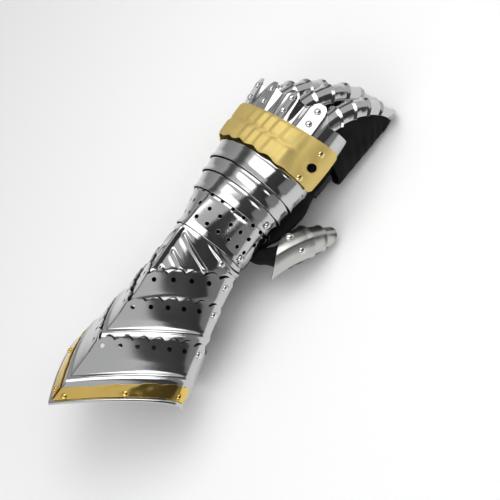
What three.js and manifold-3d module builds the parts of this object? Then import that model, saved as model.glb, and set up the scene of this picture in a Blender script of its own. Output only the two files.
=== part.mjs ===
// Left-hand armoured gauntlet: polished steel lames over a black leather glove, with brass knuckle
// plate and brass cuff border. It lies palm down on its cuff and fingertips.
// Worked out in a hand frame: +X to the fingers, -Y to the thumb, +Z up from the back of the hand.
import * as THREE from 'three';
import { mergeVertices } from 'three/addons/utils/BufferGeometryUtils.js';
import Module from 'manifold-3d';

const wasm = await Module();
wasm.setup();

// ---- driving dimensions, millimetres and degrees ----
const STEEL = 1.0;            // sheet thickness of the plates
const BRASS = 0.9;            // sheet thickness of the brass
const LEATHER = 2.0;          // wall of the glove
const GAP = 0.35;             // clearance between touching pieces
const FINGER_PITCH = 23.7;    // spacing of the four fingers
const LYING_PITCH = -2.78;    // turn about the cross axis that brings cuff and fingertips level
const LYING_ROLL = -7.17;     // lean about the arm's axis, which lets the thumb tip touch as well

// Sections of the armour along the arm: half width, height of the back, depth of the inner side,
// and how far the flanks are drawn in to leave a ridge along the middle (0 is a plain ellipse).
const SECTIONS = [
  { x: -180, halfWidth: 74.0, crown: 54.0, belly: 47, keel: 0.45 },
  { x: -120, halfWidth: 66.0, crown: 49.0, belly: 44, keel: 0.45 },
  { x: -60, halfWidth: 50.0, crown: 42.3, belly: 35, keel: 0.45 },
  { x: 0, halfWidth: 36.0, crown: 39.5, belly: 27, keel: 0.35 },
  { x: 50, halfWidth: 43.0, crown: 35.6, belly: 28, keel: 0.04 },
  { x: 100, halfWidth: 51.5, crown: 30.6, belly: 32, keel: 0.06 },
  { x: 140, halfWidth: 52.5, crown: 26.0, belly: 34, keel: 0.20 },
];

// The cuff. Its edges run as a V over the ridge: x = ridge + slope * |y|.
const CUFF_LAMES = [
  { name: 'cuff_base_plate', ridge: -100, slope: 0.75, lobes: 7, end: 96, tucked: null },
  { name: 'cuff_middle_lame', ridge: -63, slope: 0.78, lobes: 6, end: 96, tucked: 42.5 },
  { name: 'cuff_upper_lame', ridge: -37, slope: 0.78, lobes: 5, end: 98, tucked: 31.5 },
];
const EDGE_LIFT = 1.9;        // stand-off of a scalloped edge over the lame that it covers
const EDGE_RUN = 11;          // distance over which that stand-off dies out
const TUCK = -1.5;            // how far a tucked end lies below the next sheet
const LOBE_DEPTH = 2.2;       // how far the scallops cut into the upper edge
const LOBE_COLUMNS = 3;       // facets to a scallop
const HOLE_INSET = 8.5;       // hole centres below the scalloped edge
const CUFF_HOLE = 1.9;        // hole radius on the cuff
const END_RIVET = 0.45;       // place of the last rivet, as a share of a scallop in from the end
const RIM = { ridge: -164, slope: 0.82, roll: 3.4, rise: 1.2, thick: 3.2, plain: 24 };
const BORDER = {
  width: 13, rivetLine: 7.2, wave: 0.6, ripple: 2.1, from: 0.6, end: 94, rivets: [5, 36, 84], clear: 1.3,
};
const INNER = { from: 88, rise: 8, lift: -2.9, rows: [-105, -87, -69], columns: 13 };

// The fluted wrist plate: rows are shares of its length; flutes lean back as they leave the ridge.
const WRIST = {
  ridge: -42.7, slope: 0.78, top: 16, end: 100, lean: 0.5, pitch: 17, flute: 1.6, base: -0.3,
  rows: [0, 0.2, 0.36, 0.52, 0.68, 0.85, 1], columns: 19, middle: -10, rivet: { x: -3, angle: 62, lift: 1.3 },
};

// The lames over the hand: the free edge looks to the wrist, the other end tucks under the next.
const HAND_LAMES = [
  { name: 'pierced_wrist_lame', edge: 8, sweep: 7.5, end: 108, rivet: { x: 8.5, angle: 84, lift: 1.2 } },
  { name: 'hand_lame_1', edge: 39.5, sweep: 7.5, end: 112, rivet: { x: 40.5, angle: 84, lift: 1 } },
  { name: 'hand_lame_2', edge: 56, sweep: 12, end: 113 },
  { name: 'hand_lame_3', edge: 69, sweep: 12, end: 112 },
];
const HAND = { overlap: 6, flare: 1.7, run: 6, dip: 5.5, corner: 2.5, columns: 13 };
const PIERCED_ROWS = [
  { x: 17.5, sweep: 6, count: 12 },
  { x: 28, sweep: 7, count: 13 },
  { x: 38.5, sweep: 8, count: 12 },
];
const PIERCED_HOLE = 1.6;
const PIERCED_STEP = 15.2;    // degrees between holes round the wrist

// The brass knuckle plate: rows are shares of its length with the height of the hammered roll there.
const KNUCKLE = {
  edge: 86, sweep: 9, front: 116, end: 104, lift: 2.6, rise: 1.6, wave: 1.8, corner: 3, columns: 27,
  flat: [36, 44], hole: { x: 95.5, angle: 77, radius: 3.6 }, rivetRadius: 2.8,
  rivets: [{ x: 108, angle: 76 }, { x: 84, angle: 73 }],
};
const KNUCKLE_ROLL = [
  { share: 0, roll: 0 },
  { share: 0.14, roll: 0.35 },
  { share: 0.4, roll: 1 },
  { share: 0.66, roll: 0.75 },
  { share: 0.9, roll: 1 },
  { share: 1, roll: 0.3 },
];

// The plate at the finger roots: lobes over the fingers, and a flap down each side.
const ROOT = {
  back: 102, front: 141, flap: 129, end: 113, lift: 0.2, rise: 4.5, notch: 6, corner: 4, columns: 29,
  edge: [42, 47], middle: 120, rows: [0, 0.35, 0.62, 0.85, 1], rivets: [122.7, 134.3],
};

// Fingers: side place in pitches, number of lames, start of the back line, its length, and its
// first and last heading below level.
const FINGERS = [
  { name: 'index', place: -1.5, lames: 5, x: 132, z: 11.5, length: 82, from: 20, to: 87 },
  { name: 'middle', place: -0.5, lames: 5, x: 133, z: 21.8, length: 92, from: 24, to: 89 },
  { name: 'ring', place: 0.5, lames: 5, x: 133, z: 21.8, length: 87, from: 28, to: 93 },
  { name: 'little', place: 1.5, lames: 4, x: 131, z: 11.5, length: 64, from: 25, to: 93 },
];
const DIGIT_BACK = 10.2;      // depth of a digit's centre line below the line of its back
const DIGIT_STEEL = 0.9;      // sheet thickness of the plates on fingers and thumb
const LAME = { radius: 9.9, lifts: [-0.25, 0.35, 1.8], round: 4, wrap: 88, overlap: 5, spare: 4, tip: 3 };
const TAPER = { from: 0.45, loss: 0.28 };
const STALL = { radius: 8.2, root: 14, tip: 7, heel: -30, floor: -43, sides: 8, blunt: 0.6 };
const STALL_FORM = { fill: 0.75, curve: 0.8, stations: [0.34, 0.64] };

// The thumb swings out from the hand and leans over; heel is where its underside meets the palm. The
// back edge of its base plate slants, so that it follows the side of the hand.
const THUMB = {
  x: 27, y: -46.5, z: -10, length: 56, from: 20, to: 52, swing: 14, lean: 24,
  radius: 12.4, stall: 8.8, inward: 18, heel: { x: -6, y: 4, z: -21 },
};
const THUMB_PLATES = [
  { name: 'thumb_base_plate', start: 3, slant: 18, end: 33, wrap: 78, round: 3, lift: 1.2, flare: 1.4 },
  { name: 'thumb_lame', start: 27, slant: 0, end: 46, wrap: 84, round: 3, lift: 0, flare: 1.4 },
  { name: 'thumb_tip_plate', start: 41, slant: 0, end: 57, wrap: 84, round: 7, lift: -0.9, flare: 0.3 },
];
// Rivets of the thumb's base plate: place along the thumb, angle round it, height of the plate there.
const THUMB_RIVETS = [
  { distance: 17, angle: -24, height: 13.6, radius: 3.8 },
  { distance: 20, angle: 38, height: 14, radius: 2.8 },
];

// The glove's palm and cuff: half width, height of the back and depth of the palm side.
const GLOVE = [
  { x: -62, halfWidth: 36, back: 25, palm: 24 },
  { x: -10, halfWidth: 30, back: 26, palm: 23 },
  { x: 40, halfWidth: 35.5, back: 28.5, palm: 28 },
  { x: 80, halfWidth: 43, back: 26, palm: 39 },
  { x: 116, halfWidth: 45, back: 17, palm: 44 },
];
const GLOVE_SIDES = 14;
const PALM_FILL = 0.8;        // below 1 the palm side is fuller than an ellipse
const STRAP = { from: 112, back: 82, front: 102, thick: 2.4, columns: 13 };

// Rivets: the domed head is a low lathe form, its profile in shares of the radius.
const RIVET = { radius: 2.8, brass: 2.6, sink: 0.5, shoulder: 0.74, shoulderHigh: 0.5, high: 0.72, sides: 6 };
const SIDES = [
  { side: -1, label: 'outer' },
  { side: 1, label: 'thumb' },
];

const STEEL_LOOK = { color: 0xb9bcc0, metalness: 1.0, roughness: 0.18 };
const BRASS_LOOK = { color: 0xc9a23a, metalness: 1.0, roughness: 0.25 };
const LEATHER_LOOK = { color: 0x141414, metalness: 0.0, roughness: 0.7 };
const STRAP_LOOK = { color: 0x2c2c2b, metalness: 0.0, roughness: 0.8 };

const group = new THREE.Group();
const rad = THREE.MathUtils.degToRad;
const lerp = THREE.MathUtils.lerp;
const smooth = (a, b, x) => THREE.MathUtils.smoothstep(x, a, b);

function add(name, geometry, look) {
  const mesh = new THREE.Mesh(geometry, new THREE.MeshStandardMaterial(look));
  mesh.name = name;
  group.add(mesh);
}

// ---- the shape of the armour ----

// Smooth value of one column of a table at x, by a cubic through the rows.
function column(table, key, x) {
  const last = table.length - 1;
  let i = 0;
  while (i < last - 1 && x > table[i + 1].x) i += 1;
  const slopeAt = (k) => {
    const a = table[Math.max(k - 1, 0)];
    const b = table[Math.min(k + 1, last)];
    return (b[key] - a[key]) / (b.x - a.x);
  };
  const span = table[i + 1].x - table[i].x;
  const t = (x - table[i].x) / span;
  const [t2, t3] = [t * t, t * t * t];
  return table[i][key] * (2 * t3 - 3 * t2 + 1) + slopeAt(i) * span * (t3 - 2 * t2 + t)
    + table[i + 1][key] * (3 * t2 - 2 * t3) + slopeAt(i + 1) * span * (t3 - t2);
}

// A point of the armour: place along the arm, angle from the ridge to the thumb side, and height
// above the sheet's own outer face.
function bodyPoint(x, angle, lift) {
  const width = column(SECTIONS, 'halfWidth', x);
  const sin = Math.sin(angle);
  const cos = Math.cos(angle);
  const over = cos >= 0;
  const high = over ? column(SECTIONS, 'crown', x) : column(SECTIONS, 'belly', x);
  const keel = over ? column(SECTIONS, 'keel', x) : 0;
  const drawn = 1 - keel * Math.abs(sin);
  const slopeY = -width * cos;
  const slopeZ = -high * sin * drawn - high * keel * cos * cos * Math.sign(sin);
  const size = Math.hypot(slopeY, slopeZ);
  return new THREE.Vector3(
    x,
    -width * sin + lift * slopeZ / size,
    high * cos * drawn - lift * slopeY / size,
  );
}

// x of an edge that runs as a V over the ridge.
function veeEdge(ridge, slope, angle) {
  let x = ridge;
  for (let pass = 0; pass < 5; pass += 1) {
    x = ridge + slope * column(SECTIONS, 'halfWidth', x) * Math.abs(Math.sin(angle));
  }
  return x;
}

// Angle that lies at a share (-1 to 1) of the way round the section at x, measured along the sheet.
function angleAt(x, share, end) {
  const steps = 48;
  const lengths = [0];
  for (let k = 1; k <= steps; k += 1) {
    const a = bodyPoint(x, rad(end) * (k - 1) / steps, 0);
    const b = bodyPoint(x, rad(end) * k / steps, 0);
    lengths.push(lengths[k - 1] + a.distanceTo(b));
  }
  const wanted = Math.abs(share) * lengths[steps];
  let k = 0;
  while (k < steps - 1 && lengths[k + 1] < wanted) k += 1;
  const part = (wanted - lengths[k]) / (lengths[k + 1] - lengths[k]);
  return Math.sign(share) * rad(end) * (k + part) / steps;
}

// ---- sheets and solids ----

// A closed sheet between two faces, each a function of (column, row) on the same grid.
function sheet(columns, rows, outer, inner) {
  const positions = [];
  const index = [];
  const at = (i, j, side) => side * columns * rows + j * columns + i;
  for (const face of [outer, inner]) {
    for (let j = 0; j < rows; j += 1) {
      for (let i = 0; i < columns; i += 1) positions.push(...face(i, j).toArray());
    }
  }
  const quad = (a, b, c, d) => index.push(a, b, c, a, c, d);
  for (let j = 0; j < rows - 1; j += 1) {
    for (let i = 0; i < columns - 1; i += 1) {
      quad(at(i, j, 0), at(i + 1, j, 0), at(i + 1, j + 1, 0), at(i, j + 1, 0));
      quad(at(i, j, 1), at(i, j + 1, 1), at(i + 1, j + 1, 1), at(i + 1, j, 1));
    }
  }
  for (let i = 0; i < columns - 1; i += 1) {
    quad(at(i, 0, 0), at(i, 0, 1), at(i + 1, 0, 1), at(i + 1, 0, 0));
    quad(at(i, rows - 1, 0), at(i + 1, rows - 1, 0), at(i + 1, rows - 1, 1), at(i, rows - 1, 1));
  }
  for (let j = 0; j < rows - 1; j += 1) {
    quad(at(0, j, 0), at(0, j + 1, 0), at(0, j + 1, 1), at(0, j, 1));
    quad(at(columns - 1, j, 0), at(columns - 1, j, 1), at(columns - 1, j + 1, 1), at(columns - 1, j + 1, 0));
  }
  const geometry = new THREE.BufferGeometry();
  geometry.setAttribute('position', new THREE.Float32BufferAttribute(positions, 3));
  geometry.setIndex(index);
  return facingOut(geometry);
}

// Turns every face over where the closed mesh is inside out.
function facingOut(geometry) {
  const p = geometry.getAttribute('position');
  const index = geometry.getIndex().array;
  const corner = [new THREE.Vector3(), new THREE.Vector3(), new THREE.Vector3()];
  let volume = 0;
  for (let k = 0; k < index.length; k += 3) {
    corner.forEach((v, n) => v.fromBufferAttribute(p, index[k + n]));
    volume += corner[0].dot(corner[1].clone().cross(corner[2]));
  }
  if (volume < 0) {
    for (let k = 0; k < index.length; k += 3) {
      [index[k], index[k + 1]] = [index[k + 1], index[k]];
    }
  }
  return geometry;
}

function toSolid(geometry) {
  const bare = geometry.clone();
  bare.deleteAttribute('normal');
  bare.deleteAttribute('uv');
  const merged = mergeVertices(bare);
  return new wasm.Manifold(new wasm.Mesh({
    numProp: 3,
    vertProperties: new Float32Array(merged.getAttribute('position').array),
    triVerts: new Uint32Array(merged.getIndex().array),
  }));
}

function toGeometry(solid) {
  const mesh = solid.getMesh();
  const geometry = new THREE.BufferGeometry();
  geometry.setAttribute('position', new THREE.BufferAttribute(new Float32Array(mesh.vertProperties), 3));
  geometry.setIndex(new THREE.BufferAttribute(new Uint32Array(mesh.triVerts), 1));
  return geometry;
}

function cut(geometry, tools) {
  let solid = toSolid(geometry);
  for (const tool of tools) solid = solid.subtract(toSolid(tool));
  return toGeometry(solid);
}

function join(geometry, others) {
  let solid = toSolid(geometry);
  for (const other of others) solid = solid.add(toSolid(other));
  return toGeometry(solid);
}

// Turns and moves a shape made along +Z so that +Z points along a direction at a place.
function place(geometry, point, direction) {
  const turn = new THREE.Quaternion().setFromUnitVectors(new THREE.Vector3(0, 0, 1), direction);
  geometry.applyQuaternion(turn);
  return geometry.translate(point.x, point.y, point.z);
}

const PUNCH_LENGTH = 12;
const PUNCH_SIDES = 5;

// A straight punch through a sheet, for a round hole.
function punch(point, direction, radius, sides) {
  const tool = new THREE.CylinderGeometry(radius, radius, PUNCH_LENGTH, sides);
  return place(tool.rotateX(Math.PI / 2), point, direction);
}

// A domed rivet head with a flat foot; sink lets the foot run into the sheet that it is part of.
function rivetHead(point, direction, radius, sink) {
  const profile = [
    new THREE.Vector2(0, -sink),
    new THREE.Vector2(radius, -sink),
    new THREE.Vector2(RIVET.shoulder * radius, RIVET.shoulderHigh * radius),
    new THREE.Vector2(0, RIVET.high * radius),
  ];
  const head = new THREE.LatheGeometry(profile, RIVET.sides);
  return place(head.rotateX(Math.PI / 2), point, direction);
}

// Outward direction of the armour at a place.
function bodyNormal(x, angle) {
  const along = bodyPoint(x + 1, angle, 0).sub(bodyPoint(x - 1, angle, 0));
  const round = bodyPoint(x, angle + 0.02, 0).sub(bodyPoint(x, angle - 0.02, 0));
  return round.cross(along).normalize();
}

function addRivet(name, x, angle, lift) {
  const foot = bodyPoint(x, angle, lift + GAP);
  add(name, rivetHead(foot, bodyNormal(x, angle), RIVET.radius, 0), STEEL_LOOK);
}

// Height of a sheet above the armour's base shape, by distance from its free edge.
function liftAt(profile, distance) {
  for (let k = 1; k < profile.length; k += 1) {
    const before = profile[k - 1];
    const after = profile[k];
    const share = (distance - before.distance) / (after.distance - before.distance);
    if (share <= 1) return lerp(before.lift, after.lift, share);
  }
  return profile[profile.length - 1].lift;
}

// ---- cuff ----

// Profile of a cuff lame from its scalloped edge down to its tucked end, where it has one.
function cuffProfile(lame) {
  const rows = [
    { distance: 0, lift: EDGE_LIFT },
    { distance: EDGE_RUN, lift: 0.05 },
  ];
  if (lame.tucked) {
    rows.push({ distance: lame.tucked - 7, lift: TUCK + 0.15 });
    rows.push({ distance: lame.tucked, lift: TUCK });
  }
  return rows;
}

function scallop(share, lobes) {
  return LOBE_DEPTH * (1 - Math.abs(Math.sin(Math.PI * lobes * Math.abs(share))));
}

// Distance along the arm between the rim and an edge of the cuff.
function rimReach(lame, angle) {
  return veeEdge(lame.ridge, lame.slope, angle) - veeEdge(RIM.ridge, RIM.slope, angle);
}

// The row of round holes under the scallops, one between each two scallops.
function cuffPunches(lame) {
  const tools = [];
  for (let n = 0; n < lame.lobes - 1; n += 1) {
    for (const { side } of SIDES) {
      const angle = angleAt(lame.ridge, side * (n + 0.5) / lame.lobes, lame.end);
      const x = veeEdge(lame.ridge, lame.slope, angle) - HOLE_INSET;
      tools.push(punch(bodyPoint(x, angle, 0), bodyNormal(x, angle), CUFF_HOLE, PUNCH_SIDES));
    }
  }
  return tools;
}

// One cuff lame; the base plate runs on to the rim, where the sheet is rolled over a wire.
function cuffLame(lame) {
  const columns = 2 * lame.lobes * LOBE_COLUMNS + 1;
  const profile = cuffProfile(lame);
  const fromRim = lame.tucked ? [] : [-RIM.plain, -RIM.roll - 0.6, -RIM.roll, 0];
  const face = (inset) => (i, j) => {
    const share = 2 * i / (columns - 1) - 1;
    const angle = angleAt(lame.ridge, share, lame.end);
    const top = veeEdge(lame.ridge, lame.slope, angle) - (j === 0 ? scallop(share, lame.lobes) : 0);
    if (j < profile.length) {
      return bodyPoint(top - profile[j].distance, angle, profile[j].lift - inset);
    }
    const rolled = fromRim[j - profile.length] >= -RIM.roll;
    const distance = rimReach(lame, angle) + fromRim[j - profile.length];
    return bodyPoint(top - distance, angle, rolled ? RIM.rise - RIM.thick * inset : -inset);
  };
  const rows = profile.length + fromRim.length;
  add(lame.name, cut(sheet(columns, rows, face(0), face(STEEL)), cuffPunches(lame)), STEEL_LOOK);
  for (const { side, label } of SIDES) {
    const angle = angleAt(lame.ridge, side * (lame.lobes - END_RIVET) / lame.lobes, lame.end);
    const x = veeEdge(lame.ridge, lame.slope, angle) - HOLE_INSET;
    addRivet(`${lame.name}_rivet_${label}`, x, angle, liftAt(profile, HOLE_INSET) + 0.2);
  }
}
CUFF_LAMES.forEach(cuffLame);

// The two brass strips on the rim meet in a mitre on the ridge; their rivets are part of them.
function borderStrip(side, label) {
  const columns = 11;
  const rows = [RIM.roll + BORDER.clear, BORDER.width / 2, BORDER.width];
  const face = (lift) => (i, j) => {
    const angle = side * rad(lerp(BORDER.from, BORDER.end, i / (columns - 1)));
    const wave = j === rows.length - 1 ? BORDER.wave * Math.sin(BORDER.ripple * i) : 0;
    return bodyPoint(veeEdge(RIM.ridge, RIM.slope, angle) + rows[j] + wave, angle, lift);
  };
  const rivets = BORDER.rivets.map((degrees) => {
    const angle = side * rad(degrees);
    const x = veeEdge(RIM.ridge, RIM.slope, angle) + BORDER.rivetLine;
    return rivetHead(bodyPoint(x, angle, GAP + BRASS), bodyNormal(x, angle), RIVET.brass, RIVET.sink);
  });
  const strip = sheet(columns, rows.length, face(GAP + BRASS), face(GAP));
  add(`border_strip_${label}`, join(strip, rivets), BRASS_LOOK);
}
SIDES.forEach(({ side, label }) => borderStrip(side, label));

// The plate that closes the cuff on the inner side of the arm; its ends lie inside the base plate.
function innerPlate() {
  const face = (lift) => (i, j) => {
    const angle = rad(lerp(INNER.from, 360 - INNER.from, i / (INNER.columns - 1)));
    return bodyPoint(INNER.rows[j] + INNER.rise * Math.cos(angle) ** 2, angle, lift);
  };
  const plate = sheet(INNER.columns, INNER.rows.length, face(INNER.lift), face(INNER.lift - STEEL));
  add('cuff_inner_plate', plate, STEEL_LOOK);
}
innerPlate();

// ---- wrist and hand ----

// x of a free edge that swings back towards the wrist down its sides.
const sweptEdge = (x, sweep, angle) => x - sweep * Math.abs(angle / rad(120)) ** 1.4;

// The fluted wrist plate: chevron flutes run off the ridge, flat where the neighbours cover it.
function wristPlate() {
  const face = (inset) => (i, j) => {
    const angle = angleAt(WRIST.middle, 2 * i / (WRIST.columns - 1) - 1, WRIST.end);
    const start = veeEdge(WRIST.ridge, WRIST.slope, angle);
    const top = sweptEdge(WRIST.top, HAND_LAMES[0].sweep, angle);
    const x = lerp(start, top, WRIST.rows[j]);
    const shown = smooth(start + 4, start + 10, x) * (1 - smooth(top - 14, top - 9, x));
    const side = Math.abs(bodyPoint(x, angle, 0).y);
    const flute = Math.abs(Math.sin(Math.PI * (x + WRIST.lean * side) / WRIST.pitch));
    const sunk = TUCK * (1 - smooth(start, start + 7, x) + smooth(top - 9, top - 3, x));
    return bodyPoint(x, angle, WRIST.base + sunk + WRIST.flute * flute * shown - inset);
  };
  add('wrist_plate', sheet(WRIST.columns, WRIST.rows.length, face(0), face(STEEL)), STEEL_LOOK);
}
wristPlate();

// Punches for the rows of holes round the pierced lame.
function piercedPunches() {
  const tools = [];
  for (const row of PIERCED_ROWS) {
    for (let n = 0; n < row.count; n += 1) {
      const angle = rad((n - (row.count - 1) / 2) * PIERCED_STEP);
      const x = sweptEdge(row.x, row.sweep, angle);
      tools.push(punch(bodyPoint(x, angle, 0), bodyNormal(x, angle), PIERCED_HOLE, PUNCH_SIDES));
    }
  }
  return tools;
}

// A lame over the hand. Its free edge flares up, and its other end dips under the next piece.
function handLame(lame, next, tools) {
  const lifts = [HAND.flare, 0.1, 0, TUCK];
  const lastColumn = HAND.columns - 1;
  const face = (inset) => (i, j) => {
    const angle = rad(lerp(-lame.end, lame.end, i / lastColumn));
    const corner = i === 0 || i === lastColumn ? HAND.corner : 0;
    const edge = sweptEdge(lame.edge, lame.sweep, angle);
    const end = sweptEdge(next.edge, next.sweep, angle) + HAND.overlap;
    const x = [edge + corner, edge + HAND.run, end - HAND.dip, end][j];
    return bodyPoint(x, angle, lifts[j] - inset);
  };
  add(lame.name, cut(sheet(HAND.columns, lifts.length, face(0), face(STEEL)), tools), STEEL_LOOK);
}
HAND_LAMES.forEach((lame, n) => {
  handLame(lame, HAND_LAMES[n + 1] ?? KNUCKLE, n === 0 ? piercedPunches() : []);
});

// The side rivets of the wrist, where the plates pivot on the leather.
for (const { name, rivet } of [{ name: 'wrist_plate', rivet: WRIST.rivet }, ...HAND_LAMES]) {
  for (const { side, label } of rivet ? SIDES : []) {
    addRivet(`${name}_rivet_${label}`, rivet.x, side * rad(rivet.angle), rivet.lift);
  }
}

// The brass knuckle plate: flat ends, and a hammered roll over the knuckles.
function knucklePlate() {
  const lastColumn = KNUCKLE.columns - 1;
  const lastRow = KNUCKLE_ROLL.length - 1;
  const face = (inset) => (i, j) => {
    const angle = rad(lerp(-KNUCKLE.end, KNUCKLE.end, i / lastColumn));
    const back = sweptEdge(KNUCKLE.edge, KNUCKLE.sweep, angle);
    const corner = i === 0 || i === lastColumn ? KNUCKLE.corner : 0;
    const ends = [corner, 0, -corner][Math.sign(j) + Math.floor(j / lastRow)];
    const x = lerp(back, KNUCKLE.front, KNUCKLE_ROLL[j].share) + ends;
    const { y } = bodyPoint(x, angle, 0);
    const over = 1 - smooth(...KNUCKLE.flat, Math.abs(y));
    const wave = 0.5 + 0.5 * Math.cos(4 * Math.PI * y / FINGER_PITCH);
    const bump = over * KNUCKLE_ROLL[j].roll * (KNUCKLE.rise + KNUCKLE.wave * wave);
    return bodyPoint(x, angle, KNUCKLE.lift + bump - inset);
  };
  const rivets = KNUCKLE.rivets.flatMap(({ x, angle }) => SIDES.map(({ side }) => {
    const foot = bodyPoint(x, side * rad(angle), KNUCKLE.lift);
    return rivetHead(foot, bodyNormal(x, side * rad(angle)), KNUCKLE.rivetRadius, RIVET.sink);
  }));
  const { x, radius } = KNUCKLE.hole;
  const angle = rad(KNUCKLE.hole.angle);
  const hole = punch(bodyPoint(x, angle, 0), bodyNormal(x, angle), radius, PUNCH_SIDES + 3);
  const plate = cut(sheet(KNUCKLE.columns, KNUCKLE_ROLL.length, face(0), face(BRASS)), [hole]);
  add('knuckle_plate', join(plate, rivets), BRASS_LOOK);
}
knucklePlate();

// Height of the steel lobes over the finger roots, with a valley between two fingers.
function rootLobe(y) {
  const fromValley = Math.abs(THREE.MathUtils.euclideanModulo(y / FINGER_PITCH, 1) - 0.5) * 2;
  return ROOT.rise * (1 - smooth(0.45, 1, 1 - fromValley));
}

// The steel plate at the roots of the fingers: four lobes, and a flap down each side.
function fingerBasePlate() {
  const lastColumn = ROOT.columns - 1;
  const face = (inset) => (i, j) => {
    const angle = rad(lerp(-ROOT.end, ROOT.end, i / lastColumn));
    const y = Math.abs(bodyPoint(ROOT.middle, angle, 0).y);
    const over = 1 - smooth(...ROOT.edge, y);
    const notch = ROOT.notch * smooth(0.25, 1, Math.abs(Math.cos(Math.PI * y / FINGER_PITCH))) * over;
    const corner = i === 0 || i === lastColumn ? ROOT.corner : 0;
    const front = lerp(ROOT.flap, ROOT.front, over) - notch - corner;
    const x = lerp(ROOT.back, front, ROOT.rows[j]);
    return bodyPoint(x, angle, ROOT.lift + over * ROOT.rows[j] * rootLobe(y) - inset);
  };
  add('finger_base_plate', sheet(ROOT.columns, ROOT.rows.length, face(0), face(STEEL)), STEEL_LOOK);
}
fingerBasePlate();

// Round rivets in pairs along the lobes of the finger base plate.
FINGERS.forEach((finger) => {
  ROOT.rivets.forEach((x, n) => {
    const y = finger.place * FINGER_PITCH;
    const angle = -Math.asin(y / column(SECTIONS, 'halfWidth', ROOT.middle));
    const rise = ROOT.rise * (x - ROOT.back) / (ROOT.front - ROOT.back);
    addRivet(`${finger.name}_knuckle_rivet_${n + 1}`, x, angle, ROOT.lift + rise);
  });
});

// ---- fingers and thumb ----

// A digit is a tube along an arc. The function that is handed back gives a point of it by distance
// from its root, angle round it from the back, and radius.
function digit(spec) {
  const from = rad(spec.from);
  const bend = spec.length / (rad(spec.to) - from);
  const swing = rad(spec.swing ?? 0);
  const lean = rad(spec.lean ?? 0);
  const root = new THREE.Vector3(spec.x, spec.y, spec.z);
  const forward = new THREE.Vector3(Math.cos(swing), -Math.sin(swing), 0);
  const across = new THREE.Vector3(Math.sin(swing), Math.cos(swing), 0);
  const down = new THREE.Vector3(0, 0, -1);
  return (distance, angle, radius) => {
    const heading = from + distance / bend;
    const over = forward.clone().multiplyScalar(Math.sin(heading));
    over.z = Math.cos(heading);
    return root.clone()
      .addScaledVector(forward, bend * (Math.sin(heading) - Math.sin(from)))
      .addScaledVector(down, bend * (Math.cos(from) - Math.cos(heading)))
      .addScaledVector(across, -Math.sin(angle + lean) * radius)
      .addScaledVector(over, Math.cos(angle + lean) * radius - DIGIT_BACK);
  };
}

// Each digit narrows over its last stretch.
function taper(distance, length) {
  return 1 - TAPER.loss * smooth(TAPER.from, 1, distance / length);
}

const fingerSpec = (finger) => ({ ...finger, y: finger.place * FINGER_PITCH });

// One half-round lame over a finger, free edge to the tip, the other end under its neighbour.
function fingerLame(name, spec, start, end, round) {
  const at = digit(spec);
  const columns = 7;
  const places = [start, (start + end) / 2, end];
  const face = (inset) => (i, j) => {
    const share = 2 * i / (columns - 1) - 1;
    const distance = places[j] - (j === 2 ? round * share * share : 0);
    const radius = LAME.radius * taper(places[j], spec.length) + LAME.lifts[j] - inset;
    return at(distance, rad(LAME.wrap) * share, radius);
  };
  add(name, sheet(columns, places.length, face(0), face(DIGIT_STEEL)), STEEL_LOOK);
}

for (const finger of FINGERS) {
  const step = (finger.length - LAME.spare) / finger.lames;
  for (let n = 1; n <= finger.lames; n += 1) {
    const last = n === finger.lames;
    const end = n * step + (last ? LAME.tip : 0);
    const round = LAME.round * (last ? 2.2 : 1);
    fingerLame(`${finger.name}_lame_${n}`, fingerSpec(finger), (n - 1) * step - LAME.overlap, end, round);
  }
}

// Thumb plates: a large base plate, a middle lame and a tip.
function thumbPlate(plate) {
  const at = digit(THUMB);
  const columns = 9;
  const rows = 3;
  const face = (inset) => (i, j) => {
    const share = 2 * i / (columns - 1) - 1;
    const free = j === rows - 1;
    const start = plate.start - plate.slant * share;
    const distance = lerp(start, plate.end, j / (rows - 1)) - (free ? plate.round * share * share : 0);
    const radius = THUMB.radius * taper(distance, THUMB.length) + plate.lift + (free ? plate.flare : 0);
    return at(distance, rad(plate.wrap) * share, radius - inset);
  };
  add(plate.name, sheet(columns, rows, face(0), face(DIGIT_STEEL)), STEEL_LOOK);
}
THUMB_PLATES.forEach(thumbPlate);

THUMB_RIVETS.forEach(({ distance, angle, height, radius }, n) => {
  const at = digit(THUMB);
  const foot = at(distance, rad(angle), height + GAP);
  const outward = foot.clone().sub(at(distance, rad(angle), 0)).normalize();
  add(`thumb_base_plate_rivet_${n + 1}`, rivetHead(foot, outward, radius, 0), STEEL_LOOK);
});

// ---- leather ----

// A closed tube through rings of points, with flat ends.
function tube(rings, sides, ring) {
  const positions = [];
  const index = [];
  for (let j = 0; j < rings; j += 1) {
    for (let i = 0; i < sides; i += 1) positions.push(...ring(j, 2 * Math.PI * i / sides).toArray());
  }
  for (let j = 0; j < rings - 1; j += 1) {
    for (let i = 0; i < sides; i += 1) {
      const [a, b] = [j * sides + i, j * sides + (i + 1) % sides];
      index.push(a, b, b + sides, a, b + sides, a + sides);
    }
  }
  for (let i = 1; i < sides - 1; i += 1) {
    const end = (rings - 1) * sides;
    index.push(0, i + 1, i, end, end + i, end + i + 1);
  }
  const geometry = new THREE.BufferGeometry();
  geometry.setAttribute('position', new THREE.Float32BufferAttribute(positions, 3));
  geometry.setIndex(index);
  return facingOut(geometry);
}

// A value raised to a power with its sign kept: powers below 1 make an ellipse fuller.
const full = (value, power) => Math.sign(value) * Math.abs(value) ** power;

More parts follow.
